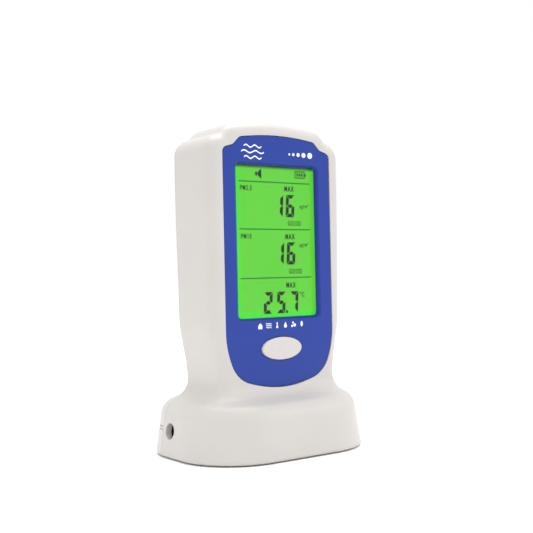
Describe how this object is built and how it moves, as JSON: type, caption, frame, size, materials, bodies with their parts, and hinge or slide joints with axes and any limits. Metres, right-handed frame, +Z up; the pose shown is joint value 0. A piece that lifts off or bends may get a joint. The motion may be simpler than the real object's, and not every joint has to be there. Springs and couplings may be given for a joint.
{
  "type": "air quality monitor",
  "caption": "Free-standing tower on a broad rounded base, with a backlit display and a push button in a coloured face plate and a particle sensor inside.",
  "frame": {"origin": "centre of the footprint, at the bottom of the rubber feet", "axes": "+Z up, display looks along -Y, +X to the viewer's right when facing the display"},
  "size_m": [0.095, 0.0721, 0.1502],
  "materials": {
    "housing": "fine satin moulded ABS, warm white",
    "face_plate": "satin blue moulded plastic",
    "clear_window": "clear acrylic window",
    "display": "green backlit segment display",
    "light_guide": "milky light guide",
    "button": "semi-gloss white",
    "white_plastic": "plain white nylon",
    "black_plastic": "black moulded plastic",
    "circuit_board": "green solder mask",
    "rubber_black": "matt rubber",
    "foam": "closed-cell foam",
    "sensor_metal": "stamped steel",
    "steel": "zinc-plated",
    "brass": "turned",
    "copper_coil": "enamelled winding",
    "vent_mesh": "fine woven dust mesh",
    "cell_wrap": "shrink film over foil",
    "lead_jacket": "silicone lead"
  },
  "bodies": {
    "housing": {"back_shell": "housing", "backlight_panel": "light_guide", "base_cover": "housing", "base_screws": "steel", "battery_cell": "cell_wrap", "battery_foam": "foam", "battery_leads": "lead_jacket", "board_chips": "black_plastic", "board_screws": "steel", "board_sockets": "white_plastic", "buzzer": "black_plastic", "case_screws": "steel", "cell_board": "circuit_board", "charge_board": "circuit_board", "charge_chip": "black_plastic", "charge_screws": "steel", "climate_sensor": "white_plastic", "contact_strip": "rubber_black", "display_frame": "white_plastic", "display_lens": "clear_window", "face_plate": "face_plate", "fan_coil": "copper_coil", "fan_shaft": "steel", "front_shell": "housing", "laser_diode": "brass", "lcd_glass": "display", "main_board": "circuit_board", "optic_chamber": "black_plastic", "power_leads": "lead_jacket", "rubber_feet": "rubber_black", "sensor_board": "circuit_board", "sensor_case": "black_plastic", "sensor_gaskets": "foam", "sensor_leads": "lead_jacket", "sensor_lid": "sensor_metal", "sensor_screws": "steel", "socket_body": "black_plastic", "socket_pin": "steel", "switch_body": "black_plastic", "vent_mesh": "vent_mesh"},
    "button": {"button_cap": "button", "switch_plunger": "black_plastic"},
    "fan": {"fan_rotor": "black_plastic"}
  },
  "joints": [
    {"name": "button_press", "type": "slide", "parent": "housing", "child": "button", "axis": [0, 1, 0], "range_m": [0, 0.0005], "stiffness_N_per_m": 4000, "springref_m": -0.0002},
    {"name": "fan_spin", "type": "hinge", "parent": "housing", "child": "fan", "pos_m": [0.006, 0.0049, 0.1141], "axis": [0, 1, 0], "continuous": true}
  ]
}
